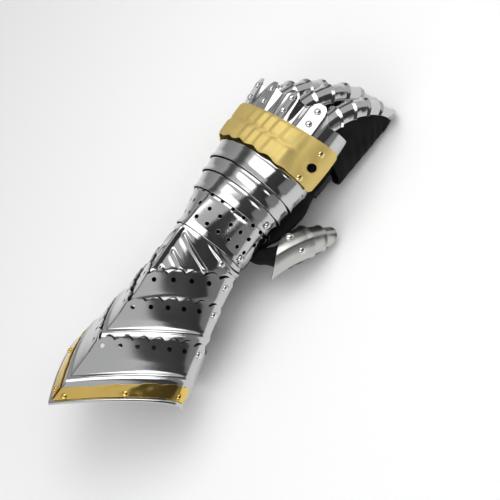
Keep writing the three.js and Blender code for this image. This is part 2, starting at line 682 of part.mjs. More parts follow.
// The palm and cuff of the glove; shrink makes the smaller form that hollows it, and runs that one
// out through the wrist end.
function palmForm(shrink) {
  const lastRow = GLOVE.length - 1;
  return tube(GLOVE.length, GLOVE_SIDES, (j, angle) => {
    const row = GLOVE[j];
    const back = Math.cos(angle) >= 0;
    const fill = back ? 1 : PALM_FILL;
    const ends = [-2 * shrink, 0, -shrink][Math.sign(j) + Math.floor(j / lastRow)];
    return new THREE.Vector3(
      row.x + ends,
      -(row.halfWidth - shrink) * full(Math.sin(angle), fill),
      ((back ? row.back : row.palm) - shrink) * full(Math.cos(angle), fill),
    );
  });
}

// A stall for a digit, closed at the tip. Its back follows the lames, and its underside runs straight
// from the heel at the palm to the tip; shrink makes the smaller form that hollows it.
function stallForm(spec, heel, stallRadius, shrink) {
  const at = digit(spec);
  const inner = STALL_FORM.stations.map((share) => share * spec.length);
  const stations = [-STALL.root, 6, ...inner, spec.length - 5, spec.length];
  const tip = at(spec.length, Math.PI, STALL.tip);
  return tube(stations.length, STALL.sides, (j, angle) => {
    const distance = Math.min(stations[j], spec.length - shrink);
    const beyondRoot = Math.max(distance, 0);
    const narrow = taper(beyondRoot, spec.length) * (j === stations.length - 1 ? STALL.blunt : 1);
    const back = at(distance, 0, stallRadius * narrow - shrink);
    const under = heel.clone().lerp(tip, (beyondRoot / spec.length) ** STALL_FORM.curve);
    const half = back.clone().sub(under).multiplyScalar(0.5);
    half.setLength(half.length() - shrink / 2);
    const across = at(distance, Math.PI / 2, 1).sub(at(distance, Math.PI / 2, 0));
    const point = back.clone().sub(half);
    point.addScaledVector(half, full(Math.cos(angle), STALL_FORM.fill));
    point.addScaledVector(across, (stallRadius - shrink) * narrow * full(Math.sin(angle), STALL_FORM.fill));
    point.y += j === 0 ? spec.inward ?? 0 : 0;
    return point;
  });
}

// The glove in one piece: palm, wrist and five stalls, a shell of one leather thickness.
function gloveForm(shrink) {
  const stalls = FINGERS.map(fingerSpec).map((spec) => {
    const heel = new THREE.Vector3(spec.x + STALL.heel, spec.y, STALL.floor);
    return stallForm(spec, heel, STALL.radius, shrink);
  });
  const { x, y, z } = THUMB.heel;
  const thumbHeel = new THREE.Vector3(THUMB.x + x, THUMB.y + y, THUMB.z + z);
  return join(palmForm(shrink), [...stalls, stallForm(THUMB, thumbHeel, THUMB.stall, shrink)]);
}
add('leather_glove', cut(gloveForm(0), [gloveForm(LEATHER)]), LEATHER_LOOK);

// A leather strap under the palm, behind the knuckles.
function palmStrap() {
  const face = (lift) => (i, j) => {
    const angle = rad(lerp(STRAP.from, 360 - STRAP.from, i / (STRAP.columns - 1)));
    const x = lerp(STRAP.back, STRAP.front, j);
    return new THREE.Vector3(
      x,
      -(column(GLOVE, 'halfWidth', x) + lift) * full(Math.sin(angle), PALM_FILL),
      (column(GLOVE, 'palm', x) + lift) * full(Math.cos(angle), PALM_FILL),
    );
  };
  add('palm_strap', sheet(STRAP.columns, 2, face(GAP + STRAP.thick), face(GAP)), STRAP_LOOK);
}
palmStrap();

// ---- how it lies ----

group.rotation.set(rad(LYING_ROLL), rad(LYING_PITCH), 0);
group.updateMatrixWorld(true);
const box = new THREE.Box3().setFromObject(group, true);
group.position.set(-(box.min.x + box.max.x) / 2, -(box.min.y + box.max.y) / 2, -box.min.z);

export default group;
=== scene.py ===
"""A left-hand armoured gauntlet: polished steel lames riveted over a black leather glove, a hammered
brass plate on the knuckles and a brass border on the cuff, lying palm down on a pale floor."""
import math

import bpy
import numpy as np
from mathutils import Matrix, Vector


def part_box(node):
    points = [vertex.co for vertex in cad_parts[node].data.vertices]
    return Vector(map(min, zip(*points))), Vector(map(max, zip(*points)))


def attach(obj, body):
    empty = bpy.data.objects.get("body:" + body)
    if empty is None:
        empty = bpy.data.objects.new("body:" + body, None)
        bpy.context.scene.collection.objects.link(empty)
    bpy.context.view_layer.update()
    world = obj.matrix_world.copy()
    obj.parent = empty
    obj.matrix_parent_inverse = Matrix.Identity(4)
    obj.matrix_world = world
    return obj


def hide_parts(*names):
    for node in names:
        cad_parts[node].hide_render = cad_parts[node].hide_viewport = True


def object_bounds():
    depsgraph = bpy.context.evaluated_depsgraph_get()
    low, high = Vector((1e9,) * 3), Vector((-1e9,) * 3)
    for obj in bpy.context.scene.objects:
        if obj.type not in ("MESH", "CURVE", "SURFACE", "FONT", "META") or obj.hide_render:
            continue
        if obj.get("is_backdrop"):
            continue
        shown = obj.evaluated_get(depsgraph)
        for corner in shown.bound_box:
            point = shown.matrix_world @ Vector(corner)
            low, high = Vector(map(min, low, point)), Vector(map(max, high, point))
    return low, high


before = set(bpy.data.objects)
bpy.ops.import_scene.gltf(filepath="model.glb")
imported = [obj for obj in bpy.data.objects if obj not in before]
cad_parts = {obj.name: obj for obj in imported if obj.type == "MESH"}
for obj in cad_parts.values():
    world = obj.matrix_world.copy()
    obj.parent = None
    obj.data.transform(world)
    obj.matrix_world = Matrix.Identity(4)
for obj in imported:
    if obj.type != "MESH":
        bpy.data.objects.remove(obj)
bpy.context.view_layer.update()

# ---- Cuff base plate ----
# The widest of three flared cuff plates, cut from 1 mm steel, dished to a ridge and polished. Its upper
# edge is cut into round lobes with a hole in each, a bead runs across it, and the rim is rolled over wire.
# Sizes are in millimetres in the hand's own frame: x to the fingers, z up out of the back of the hand.
ARM_X = np.array([-180, -120, -60, 0, 50, 100, 140], float)
ARM = {
    "half_width": np.array([74, 66, 50, 36, 43, 51.5, 52.5]),
    "crown": np.array([54, 49, 42.3, 39.5, 35.6, 30.6, 26]),
    "belly": np.array([47, 44, 35, 27, 28, 32, 34], float),
    "keel": np.array([0.45, 0.45, 0.45, 0.35, 0.04, 0.06, 0.20]),
}
LYING = {"pitch": math.radians(-2.78), "roll": math.radians(-7.17)}
STEEL_WALL = 1.0
CELL = 0.95
RIM = {"ridge": -164, "slope": 0.82, "roll": 3.4, "rise": 1.5}
BEAD = {"half": 1.9, "high": 1.4}
CUFF = {
    "cuff_base_plate": {"ridge": -100, "slope": 0.75, "lobes": 7, "end": 96, "bead": (-140, 0.85)},
    "cuff_middle_lame": {"ridge": -63, "slope": 0.78, "lobes": 6, "end": 96, "bead": (-96, 0.80),
                         "below": (-100, 0.75)},
    "cuff_upper_lame": {"ridge": -37, "slope": 0.78, "lobes": 5, "end": 98, "bead": None,
                        "below": (-63, 0.78)},
}
EDGE = {
    "clear": 0.05, "lift": 1.9, "run": 20, "curve": 1.3, "lip": 0.3, "lip_run": 0.9,
    "lobe": 4.2, "lobe_curve": 0.9, "lobe_run": 6, "hole_in": 8.5, "hole": 1.9,
    "tuck": -1.5, "under": 5.6, "dip_from": 1, "dip_to": 9,
}


def smooth(low, high, x):
    """Smooth step: 0 below low, 1 above high, and 3t squared less 2t cubed between."""
    t = np.clip((x - low) / (high - low), 0, 1)
    return t * t * (3 - 2 * t)


def along(table, keys, x):
    """A cubic through a table's rows: Hermite curves, whose slope at a row is that of the chord between its
    two neighbours."""
    x = np.asarray(x, float)
    last = len(keys) - 1
    before = np.maximum(np.arange(last + 1) - 1, 0)
    after = np.minimum(np.arange(last + 1) + 1, last)
    slope = (table[after] - table[before]) / (keys[after] - keys[before])
    i = np.clip(np.searchsorted(keys, x, side="left") - 1, 0, last - 1)
    span = keys[i + 1] - keys[i]
    t = (x - keys[i]) / span
    return (table[i] * (2 * t**3 - 3 * t**2 + 1) + slope[i] * span * (t**3 - 2 * t**2 + t)
            + table[i + 1] * (3 * t**2 - 2 * t**3) + slope[i + 1] * span * (t**3 - t**2))


def arm(x, angle, lift):
    """The armour's face: at x an ellipse of half width and crown, its flanks drawn in by the keel, and moved
    out along its normal by the lift."""
    x, angle, lift = np.broadcast_arrays(np.asarray(x, float), angle, lift)
    width = along(ARM["half_width"], ARM_X, x)
    over = np.cos(angle) >= 0
    high = np.where(over, along(ARM["crown"], ARM_X, x), along(ARM["belly"], ARM_X, x))
    keel = np.where(over, along(ARM["keel"], ARM_X, x), 0)
    sin, cos = np.sin(angle), np.cos(angle)
    drawn = 1 - keel * np.abs(sin)
    slope_y = -width * cos
    slope_z = -high * sin * drawn - high * keel * cos * cos * np.sign(sin)
    size = np.hypot(slope_y, slope_z)
    out_y, out_z = slope_z / size, -slope_y / size
    return np.stack([x, -width * sin + lift * out_y, high * cos * drawn + lift * out_z], -1)


def vee(ridge, slope, angle):
    """An edge that runs as a V over the ridge: x is the ridge plus slope times the distance out to the side,
    found by repeating that sum until it settles."""
    x = np.full_like(np.asarray(angle, float), ridge)
    for _ in range(6):
        x = ridge + slope * along(ARM["half_width"], ARM_X, x) * np.abs(np.sin(angle))
    return x


def girth(x, end):
    """Angles from the ridge to end, and the length of sheet from the ridge to each, on the section at x."""
    angles = np.radians(np.linspace(0, end, 400))
    points = arm(x, angles, 0)
    steps = np.linalg.norm(np.diff(points, axis=0), axis=1)
    return angles, np.concatenate([[0], np.cumsum(steps)])


def lay(points):
    """Hand frame in mm to the shared frame in m: pitched about y, rolled about x, and shifted."""
    p, r = LYING["pitch"], LYING["roll"]
    pitch = np.array([[math.cos(p), 0, math.sin(p)], [0, 1, 0], [-math.sin(p), 0, math.cos(p)]])
    roll = np.array([[1, 0, 0], [0, math.cos(r), -math.sin(r)], [0, math.sin(r), math.cos(r)]])
    return points @ (roll @ pitch).T / 1000 + LYING["shift"]


def swept(x, sweep, angle):
    """A free edge that swings back to the wrist down its sides: x less the sweep times the power 1.4 of the
    angle, as a share of 120 degrees."""
    return x - sweep * np.abs(angle / math.radians(120)) ** 1.4


# The shift is read off the box of the solid hand_lame_2, whose four rows of thirteen corners are laid here
# once more: the flared edge with its two cut corners, the foot of the flare, the start of the dip, the end.
LAME_2 = {"edge": 56, "next": 69, "past": 6, "sweep": 12, "end": 113, "cut": 2.5, "cut_from": 1.97}
LAME_2_ROWS = {"edge_lift": 1.7, "foot": 6, "foot_lift": 0.1, "dip": 5.5, "end_lift": -1.5}
LYING["shift"] = np.zeros(3)
_angles = np.radians(np.linspace(-LAME_2["end"], LAME_2["end"], 13))
_edge = swept(LAME_2["edge"], LAME_2["sweep"], _angles)
_end = swept(LAME_2["next"], LAME_2["sweep"], _angles) + LAME_2["past"]
_rows = [
    (_edge + LAME_2["cut"] * (np.abs(_angles) > LAME_2["cut_from"]), LAME_2_ROWS["edge_lift"]),
    (_edge + LAME_2_ROWS["foot"], LAME_2_ROWS["foot_lift"]),
    (_end - LAME_2_ROWS["dip"], 0),
    (_end, LAME_2_ROWS["end_lift"]),
]
_solid = np.concatenate([arm(x, _angles, lift - wall) for x, lift in _rows for wall in (0, STEEL_WALL)])
LYING["shift"] = np.array(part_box("hand_lame_2")[0]) - lay(_solid).min(0)


def quads(rows, columns, keep=None, ring=False):
    """Corner numbers of a grid's cells; keep drops cells, and ring joins the last column to the first."""
    number = np.arange(rows * columns).reshape(rows, columns)
    if ring:
        number = np.concatenate([number, number[:, :1]], 1)
    cells = np.stack([number[:-1, :-1], number[:-1, 1:], number[1:, 1:], number[1:, :-1]], -1)
    return cells[keep] if keep is not None else cells.reshape(-1, 4)


def piece(name, surfaces, finish, nodes=(), wall=0.0, soften=0.0, weld=False, inside=None):
    """One mesh from pairs of points and cells in the hand frame, faces out: weld closes poles, wall goes
    inwards with its own finish inside, and soften rounds the edges."""
    corners, cells, start = [], [], 0
    for points, faces in surfaces:
        flat = points.reshape(-1, 3)
        used, faces = np.unique(faces, return_inverse=True)
        corners.append(flat[used])
        cells.append(faces.reshape(-1, 4) + start)
        start += len(used)
    mesh = bpy.data.meshes.new(name)
    mesh.from_pydata(lay(np.concatenate(corners)).tolist(), [], np.concatenate(cells).tolist())
    mesh.polygons.foreach_set("use_smooth", np.ones(len(mesh.polygons), bool))
    mesh.materials.append(finish)
    obj = bpy.data.objects.new(name, mesh)
    bpy.context.collection.objects.link(obj)
    if weld:
        obj.modifiers.new("closed", "WELD").merge_threshold = 2e-5
    if wall:
        solid = obj.modifiers.new("wall", "SOLIDIFY")
        solid.thickness, solid.offset = wall / 1000, -1
        # The inside finish, where one is given, is the near-black steel that stands for painted shade on the
        # inner faces.
        if inside:
            mesh.materials.append(inside)
            solid.material_offset = 1
    if soften:
        bevel = obj.modifiers.new("edge", "BEVEL")
        bevel.width, bevel.segments = soften / 1000, 2
        bevel.limit_method, bevel.angle_limit = "ANGLE", math.radians(50)
        bevel.harden_normals = True
    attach(obj, "root")
    if nodes:
        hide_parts(*nodes)
    return obj


def outward(points, faces):
    """Turns every cell over where the surface faces the arm's own middle line."""
    corner = points.reshape(-1, 3)[faces]
    normal = np.cross(corner[:, 1] - corner[:, 0], corner[:, 2] - corner[:, 0])
    middle = corner.mean(1)
    out = middle - np.stack([middle[:, 0], 0 * middle[:, 0], 0 * middle[:, 0]], -1)
    return faces[:, ::-1] if (normal * out).sum() < 0 else faces


def pierce(s, x, holes, radius, ring=2, fade=3):
    """Round holes in a grid: the square ring of corners round a hole moves to a circle, its neighbours follow
    by a share that falls with their distance, and the cells inside go."""
    s, x = s.copy(), x.copy()
    keep = np.ones((s.shape[0] - 1, s.shape[1] - 1), bool)
    for hole_s, hole_x, stretch in holes:
        j, i = np.unravel_index(np.argmin(((s - hole_s) * stretch) ** 2 + (x - hole_x) ** 2), s.shape)
        reach = ring + fade
        rows = np.arange(max(j - reach, 0), min(j + reach + 1, s.shape[0]))
        columns = np.arange(max(i - reach, 0), min(i + reach + 1, s.shape[1]))
        jj, ii = np.meshgrid(rows, columns, indexing="ij")
        away = np.maximum(np.abs(jj - j), np.abs(ii - i))
        ds, dx = (s[jj, ii] - s[j, i]) * stretch, x[jj, ii] - x[j, i]
        size = np.maximum(np.hypot(ds, dx), 1e-6)
        wanted = radius + (away - ring) * CELL
        share = np.where(away >= ring, 1 - (away - ring) / (fade + 1), 0)
        round_s, round_x = hole_s + ds / size * wanted / stretch, hole_x + dx / size * wanted
        s[jj, ii] = s[jj, ii] + share * (round_s - s[jj, ii])
        x[jj, ii] = x[jj, ii] + share * (round_x - x[jj, ii])
        keep[j - ring:j + ring, i - ring:i + ring] = False
    return s, x, keep


def polished(name, tint, low, high, scratch, patch):
    """Polished sheet metal: a noise of patches moves the roughness between low and high and the tint by a
    little, and a noise drawn out along y and z is bump for fine scratches."""
    finish = bpy.data.materials.new(name)
    finish.use_nodes = True
    nodes, link = finish.node_tree.nodes, finish.node_tree.links.new
    shader = nodes["Principled BSDF"]
    shader.inputs["Metallic"].default_value = 1
    place = nodes.new("ShaderNodeTexCoord").outputs["Object"]
    patches = nodes.new("ShaderNodeTexNoise")
    patches.inputs["Scale"].default_value = patch
    patches.inputs["Detail"].default_value = 5
    link(place, patches.inputs["Vector"])
    rough = nodes.new("ShaderNodeMapRange")
    rough.inputs["From Min"].default_value = 0.3
    rough.inputs["From Max"].default_value = 0.7
    rough.inputs["To Min"].default_value = low
    rough.inputs["To Max"].default_value = high
    link(patches.outputs["Fac"], rough.inputs["Value"])
    link(rough.outputs["Result"], shader.inputs["Roughness"])
    ramp = nodes.new("ShaderNodeValToRGB")
    ramp.color_ramp.elements[0].color = (*[c * 0.86 for c in tint], 1)
    ramp.color_ramp.elements[1].color = (*tint, 1)
    link(patches.outputs["Fac"], ramp.inputs["Fac"])
    link(ramp.outputs["Color"], shader.inputs["Base Color"])
    stretch = nodes.new("ShaderNodeMapping")
    stretch.inputs["Scale"].default_value = (900, 160, 160)
    link(place, stretch.inputs["Vector"])
    lines = nodes.new("ShaderNodeTexNoise")
    lines.inputs["Scale"].default_value = 1
    lines.inputs["Detail"].default_value = 3
    link(stretch.outputs["Vector"], lines.inputs["Vector"])
    bump = nodes.new("ShaderNodeBump")
    bump.inputs["Strength"].default_value = scratch
    bump.inputs["Distance"].default_value = 0.0002
    link(lines.outputs["Fac"], bump.inputs["Height"])
    link(bump.outputs["Normal"], shader.inputs["Normal"])
    return finish


steel = polished("polished_steel", (0.60, 0.605, 0.605), 0.10, 0.20, 0.08, 18)
# The inner faces of the steel plates get a near-black steel: painted shade for the dark inside of the armour,
# not the metal's own colour.
painted_shade_steel = polished("painted_shade_steel", (0.05, 0.05, 0.05), 0.45, 0.60, 0.05, 18)


def cuff_plate(name):
    """A cuff plate on a grid of girth and distance down from its lobed edge. Its lift adds the edge's
    stand-off, which dies down over a run, the bead as a bell curve, and the rolled rim or the tucked dip."""
    plate = CUFF[name]
    angles, lengths = girth(plate["ridge"], plate["end"])
    half = lengths[-1]
    columns = 2 * int(half / CELL) + 1
    s = np.linspace(-half, half, columns)[None, :]
    angle = np.sign(s) * np.interp(np.abs(s), lengths, angles)
    edge = vee(plate["ridge"], plate["slope"], angle)
    base = "below" not in plate
    far_end = (RIM["ridge"], RIM["slope"]) if base else plate["below"]
    reach = edge - vee(*far_end, angle) + (0 if base else EDGE["under"])
    rows = int(reach.mean() / CELL) + 1
    down = np.linspace(0, 1, rows)[:, None] * reach
    between = 1 - np.abs(np.sin(math.pi * plate["lobes"] * np.abs(s) / half)) ** EDGE["lobe_curve"]
    x = edge - down - EDGE["lobe"] * between * (1 - smooth(0, EDGE["lobe_run"], down))
    s = np.broadcast_to(s, x.shape)
    holes = []
    for n in range(plate["lobes"] - 1):
        for side in (-1, 1):
            at = side * half * (n + 0.5) / plate["lobes"]
            a = np.array([np.sign(at) * np.interp(abs(at), lengths, angles)])
            hole_x = vee(plate["ridge"], plate["slope"], a)[0] - EDGE["hole_in"]
            near = np.interp(np.abs([at - 0.5, at + 0.5]), lengths, angles) * np.sign(at)
            stretch = np.linalg.norm(np.diff(arm(hole_x, near, 0), axis=0))
            holes.append((at, hole_x, stretch))
    s, x, keep = pierce(s, x, holes, EDGE["hole"])
    angle = np.sign(s) * np.interp(np.abs(s), lengths, angles)
    edge = vee(plate["ridge"], plate["slope"], angle)
    down = edge - x
    lift = EDGE["lift"] * np.clip(1 - down / EDGE["run"], 0, 1) ** EDGE["curve"] + EDGE["clear"]
    lift = lift + EDGE["lip"] * np.exp(-down / EDGE["lip_run"])
    if plate["bead"]:
        off = (x - vee(*plate["bead"], angle)) / BEAD["half"]
        lift = lift + BEAD["high"] * np.exp(-off * off)
    if base:
        from_rim = x - vee(RIM["ridge"], RIM["slope"], angle)
        turned = np.clip(1 - ((from_rim - RIM["roll"] / 2) / (RIM["roll"] / 2)) ** 2, 0, 1)
        lift = lift + RIM["rise"] * np.sqrt(turned)
    else:
        left = x - vee(*far_end, angle) + EDGE["under"]
        dip = 1 - smooth(EDGE["dip_from"], EDGE["dip_to"], left)
        lift = lift + (EDGE["tuck"] - EDGE["clear"]) * dip
    points = arm(x, angle, lift)
    return points, outward(points, quads(*x.shape, keep))


piece("cuff_base", [cuff_plate("cuff_base_plate")], steel, ["cuff_base_plate"], STEEL_WALL, 0.3,
      inside=painted_shade_steel)

# ---- Cuff middle and upper lames ----
# Two narrower plates of the same steel. Each runs in under the lobes of the plate below it on the arm, and
# is held near its corners by rivets.
for _name in ("cuff_middle_lame", "cuff_upper_lame"):
    piece(_name + "_plate", [cuff_plate(_name)], steel, [_name], STEEL_WALL, 0.3, inside=painted_shade_steel)

# ---- Brass border of the cuff ----
# Two strips of 0.9 mm brass, hammered along the rim and mitred on the ridge, their inner edge left a
# little wavy by the hammer. Three round rivets hold each.
BORDER = {
    "width": 15.5, "gap": 0.9, "from": 0.6, "end": 94, "clear": 0.35, "wall": 0.9,
    "rivets": (5, 36, 84), "line": 7.2, "head": 2.6,
}
brass = polished("hammered_brass", (0.86, 0.60, 0.17), 0.12, 0.22, 0.08, 26)


def outward_at(x, angle):
    """Direction out of the armour at a place: across the slopes along the arm and round it."""
    step = arm(x + 1, angle, 0) - arm(x - 1, angle, 0)
    turn = arm(x, angle + 0.02, 0) - arm(x, angle - 0.02, 0)
    normal = np.cross(turn, step)
    return normal / np.linalg.norm(normal)


def dome(foot, normal, radius, high=0.62):
    """A rivet head: a quarter ellipse swept round its normal, with a short straight wall at its foot."""
    rise = np.linspace(0, math.pi / 2, 7)
    turn = np.linspace(0, 2 * math.pi, 20, endpoint=False)[None, :]
    out = radius * np.concatenate([[0, 1], np.cos(rise)])[:, None] * np.ones_like(turn)
    foot_up = -0.25
    up = radius * np.concatenate([[foot_up, foot_up], high * np.sin(rise)])[:, None] * np.ones_like(turn)
    across = np.cross(normal, [0.3, 0.2, 0.93])
    across = across / np.linalg.norm(across)
    third = np.cross(normal, across)
    way = np.cos(turn)[..., None] * across + np.sin(turn)[..., None] * third
    points = foot + out[..., None] * way + up[..., None] * normal
    return points, quads(*points.shape[:2], ring=True)


def border(side):
    """A strip on a grid of angle and distance from the rim, laid on the cuff's face. Its inner edge waves by
    two sines of the angle, and its dents are two more."""
    angle = side * np.radians(np.linspace(BORDER["from"], BORDER["end"], 150))[None, :]
    v = np.linspace(0, 1, 14)[:, None]
    start = RIM["roll"] + BORDER["gap"]
    wave = 0.5 * np.sin(angle * 17) + 0.3 * np.sin(angle * 41 + 1)
    x = vee(RIM["ridge"], RIM["slope"], angle) + start + v * (BORDER["width"] - start + wave)
    dents = 0.10 * np.sin(angle * 19 + 2.2 * np.sin(v * 3)) * np.sin(v * math.pi)
    dents = dents + 0.03 * np.sin(angle * 47 + v * 5)
    points = arm(x, angle, BORDER["clear"] + BORDER["wall"] + dents)
    return points, outward(points, quads(*points.shape[:2]))


for _side, _label in ((-1, "outer"), (1, "thumb")):
    piece("border_" + _label, [border(_side)], brass, ["border_strip_" + _label],
          BORDER["wall"], 0.2)
    _heads = []
    for _degrees in BORDER["rivets"]:
        _angle = _side * math.radians(_degrees)
        _x = vee(RIM["ridge"], RIM["slope"], np.array([_angle]))[0] + BORDER["line"]
        _foot = arm(_x, _angle, BORDER["clear"] + BORDER["wall"])
        _heads.append(dome(_foot, outward_at(_x, _angle), BORDER["head"]))
    piece("border_rivets_" + _label, _heads, brass, weld=True)

# ---- Inner plate of the cuff ----
# A curved steel plate 1 mm thick that closes the cuff on the inner side of the arm. Its ends are held
# inside the base plate.
INNER = {"from": 88, "rise": 8, "lift": -2.9, "back": -105, "front": -69}
INNER_BEAD = {"high": 0.7, "in": 0.07, "half": 0.04}
_angle = np.radians(np.linspace(INNER["from"], 360 - INNER["from"], 130))[None, :]
_v = np.linspace(0, 1, 34)[:, None]
_from_edge = np.minimum(_v, 1 - _v)
_edge_bead = INNER_BEAD["high"] * np.exp(-((_from_edge - INNER_BEAD["in"]) / INNER_BEAD["half"]) ** 2)
_x = INNER["back"] + _v * (INNER["front"] - INNER["back"]) + INNER["rise"] * np.cos(_angle) ** 2
_points = arm(_x, _angle, INNER["lift"] + _edge_bead * np.sin(_angle / 2) ** 2)
piece("inner_plate", [(_points, outward(_points, quads(*_points.shape[:2])))], steel,
      ["cuff_inner_plate"], STEEL_WALL, 0.2, inside=painted_shade_steel)

# ---- Fluted wrist plate ----
# One steel plate over the wrist bone, creased over a stake so that flutes run back from its ridge on both
# sides. The pierced lame rides over its front and the cuff over its back.
WRIST = {"ridge": -42.7, "slope": 0.78, "top": 16, "end": 100, "sweep": 7.5, "base": -0.3, "dip": -1.5}
FLUTE = {"lean": 0.62, "shift": 12, "pitch": 15.5, "width": 1.9, "high": 1.6, "bow": 0.25}
KEEL = {"high": 1.1, "width": 2.4, "clear": (3, 6)}
_angles, _lengths = girth(-10, WRIST["end"])
_s = np.linspace(-_lengths[-1], _lengths[-1], 181)[None, :]
_angle = np.sign(_s) * np.interp(np.abs(_s), _lengths, _angles)
_start = vee(WRIST["ridge"], WRIST["slope"], _angle)
_top = swept(WRIST["top"], WRIST["sweep"], _angle)
_x = _start + np.linspace(0, 1, 84)[:, None] * (_top - _start)
_out = np.abs(arm(_x, _angle + 0 * _x, 0)[..., 1])


def flute(place):
    """Height of pressed flutes: a narrow round rib on each line of the pitch, a shallow bow between two."""
    pitch = FLUTE["pitch"]
    off = np.mod(place + pitch / 2, pitch) - pitch / 2
    return np.exp(-(off / FLUTE["width"]) ** 4) + FLUTE["bow"] * np.sin(math.pi * place / pitch) ** 2


# The flutes are lines of x plus a lean times the distance out; they die out before the two hidden ends.
_shown = smooth(_start + 3, _start + 9, _x) * (1 - smooth(_top - 13, _top - 8, _x))
_fan = flute(_x + FLUTE["lean"] * _out + FLUTE["shift"]) * smooth(*KEEL["clear"], _out)
_fan = _fan + KEEL["high"] * np.exp(-(_out / KEEL["width"]) ** 2)
_sunk = WRIST["dip"] * (1 - smooth(_start, _start + 7, _x) + smooth(_top - 9, _top - 3, _x))
_points = arm(_x, _angle + 0 * _x, _sunk + WRIST["base"] + FLUTE["high"] * _fan * _shown)
piece("wrist_flutes", [(_points, outward(_points, quads(*_x.shape)))], steel, ["wrist_plate"],
      STEEL_WALL, 0.2, inside=painted_shade_steel)

# ---- Lames over the hand ----
# Four narrow steel lames between the wrist and the knuckles. Each is flared out along its wrist-side edge,
# and its other end tucks under the next. The first is pierced with three rows of round holes.
HAND = {
    "pierced_wrist_lame": {"edge": 8, "sweep": 7.5, "end": 108, "next": (39.5, 7.5), "round": 9,
                           "crease": 0.35},
    "hand_lame_1": {"edge": 39.5, "sweep": 7.5, "end": 112, "next": (56, 12), "round": 2.5, "crease": 0},
    "hand_lame_2": {"edge": 56, "sweep": 12, "end": 113, "next": (69, 12), "round": 2.5, "crease": 0},
    "hand_lame_3": {"edge": 69, "sweep": 12, "end": 112, "next": (86, 9), "round": 2.5, "crease": 0},
}
LAP = {
    "past": 6, "dip": -1.5, "dip_run": 5.5, "bead": 0.45, "bead_in": 8.6, "bead_half": 0.8,
    "flare_at": (0, 3.9, 4.7, 6), "flare": (1.8, 0.32, 0.1, 0.0),
}
PIERCED_ROWS = (
    {"x": 17.5, "sweep": 6, "count": 12},
    {"x": 28, "sweep": 7, "count": 13},
    {"x": 38.5, "sweep": 8, "count": 12},
)
PIERCED = {"step": 15.2, "hole": 1.6}


def hand_lame(name):
    """A lame on a grid of girth and distance from its free edge. Its lift is a straight flare by a table, a
    fine bead as a bell curve, less a dip at the tucked end and a crease on the middle line."""
    lame = HAND[name]
    angles, lengths = girth(lame["edge"] + 12, lame["end"])
    half = lengths[-1]
    columns = 2 * int(half / CELL) + 1
    s = np.linspace(-half, half, columns)[None, :]
    angle = np.sign(s) * np.interp(np.abs(s), lengths, angles)
    edge = swept(lame["edge"], lame["sweep"], angle)
    end = swept(*lame["next"], angle) + LAP["past"]
    rows = int(np.abs(end - edge).mean() / CELL) + 2
    down = np.linspace(0, 1, rows)[:, None] * (end - edge)
    from_end = np.clip((np.abs(s) - half + lame["round"]) / lame["round"], 0, 1)
    corner = lame["round"] * (1 - np.sqrt(1 - 0.98 * from_end**2)) * (1 - smooth(0, 16, down))
    x = edge + down + corner
    s = np.broadcast_to(s, x.shape)
    keep = None
    if name == "pierced_wrist_lame":
        holes = []
        for row in PIERCED_ROWS:
            for n in range(row["count"]):
                a = math.radians((n - (row["count"] - 1) / 2) * PIERCED["step"])
                at = math.copysign(np.interp(abs(a), angles, lengths), a)
                holes.append((at, float(swept(row["x"], row["sweep"], a)), 1.0))
        s, x, keep = pierce(s, x, holes, PIERCED["hole"])
        angle = np.sign(s) * np.interp(np.abs(s), lengths, angles)
    edge = swept(lame["edge"], lame["sweep"], angle)
    left = swept(*lame["next"], angle) + LAP["past"] - x
    flare = np.interp(x - edge, LAP["flare_at"], LAP["flare"])
    bead = LAP["bead"] * np.exp(-((left - LAP["bead_in"]) / LAP["bead_half"]) ** 2)
    dip = LAP["dip"] * smooth(-0.5, 1, 1 - left / LAP["dip_run"])
    crease = lame["crease"] * np.exp(-np.abs(s) / 0.8)
    points = arm(x, angle, flare + bead + dip - crease)
    return points, outward(points, quads(*x.shape, keep))


for _name in HAND:
    piece(_name + "_plate", [hand_lame(_name)], steel, [_name], STEEL_WALL, 0.3, inside=painted_shade_steel)

# ---- Knuckle plate ----
# Sheet brass, flat with rounded corners at both ends, raised into a hammered roll over the knuckles, its
# wrist edge left wavy. Two domed rivets hold each end, and the thumb end has an eyelet with a raised lip.
KNUCKLE = {
    "edge": 86, "sweep": 9, "front": 116, "end": 104, "lift": 2.6, "wall": 0.9, "corner": 3.2, "head": 2.9,
}
KNUCKLE_RIVETS = ({"x": 108, "angle": 76}, {"x": 84, "angle": 73})
EYELET = {"x": 95.5, "angle": 77, "radius": 3.6, "lip": 0.6, "lip_out": 0.9, "lip_half": 1.1}
FACET = {
    "width": 9.8, "offset": 0.46, "skew": 0.25, "base": 1.8, "high": 1.3,
    "climb_at": (0, 0.10, 0.62, 1), "climb": (0, 0.12, 1, 0.02),
    "band_at": (0, 0.08, 0.40, 0.50, 0.60, 0.92, 1), "band": (0.75, 1.0, 1.0, 0.55, 0.95, 0.9, 0.45),
}
_angles, _lengths = girth(100, KNUCKLE["end"])
_half = _lengths[-1]
_s = np.linspace(-_half, _half, 2 * int(_half / CELL) + 1)[None, :]
_angle = np.sign(_s) * np.interp(np.abs(_s), _lengths, _angles)
_back = swept(KNUCKLE["edge"], KNUCKLE["sweep"], _angle)
_down = np.linspace(0, 1, 40)[:, None]
_corner = KNUCKLE["corner"] * smooth(_half - 4, _half, np.abs(_s)) * np.cos(math.pi * _down)
_x = _back + _down * (KNUCKLE["front"] - _back) + _corner
_hole_s = np.interp(math.radians(EYELET["angle"]), _angles, _lengths)
_hole = (_hole_s, EYELET["x"], 1.0)
_s, _x, _keep = pierce(np.broadcast_to(_s, _x.shape), _x, [_hole], EYELET["radius"], 4, 3)
_angle = np.sign(_s) * np.interp(np.abs(_s), _lengths, _angles)
_back = swept(KNUCKLE["edge"], KNUCKLE["sweep"], _angle)
_t = (_x - _back) / (KNUCKLE["front"] - _back)
_y = arm(_x, _angle, 0)[..., 1]


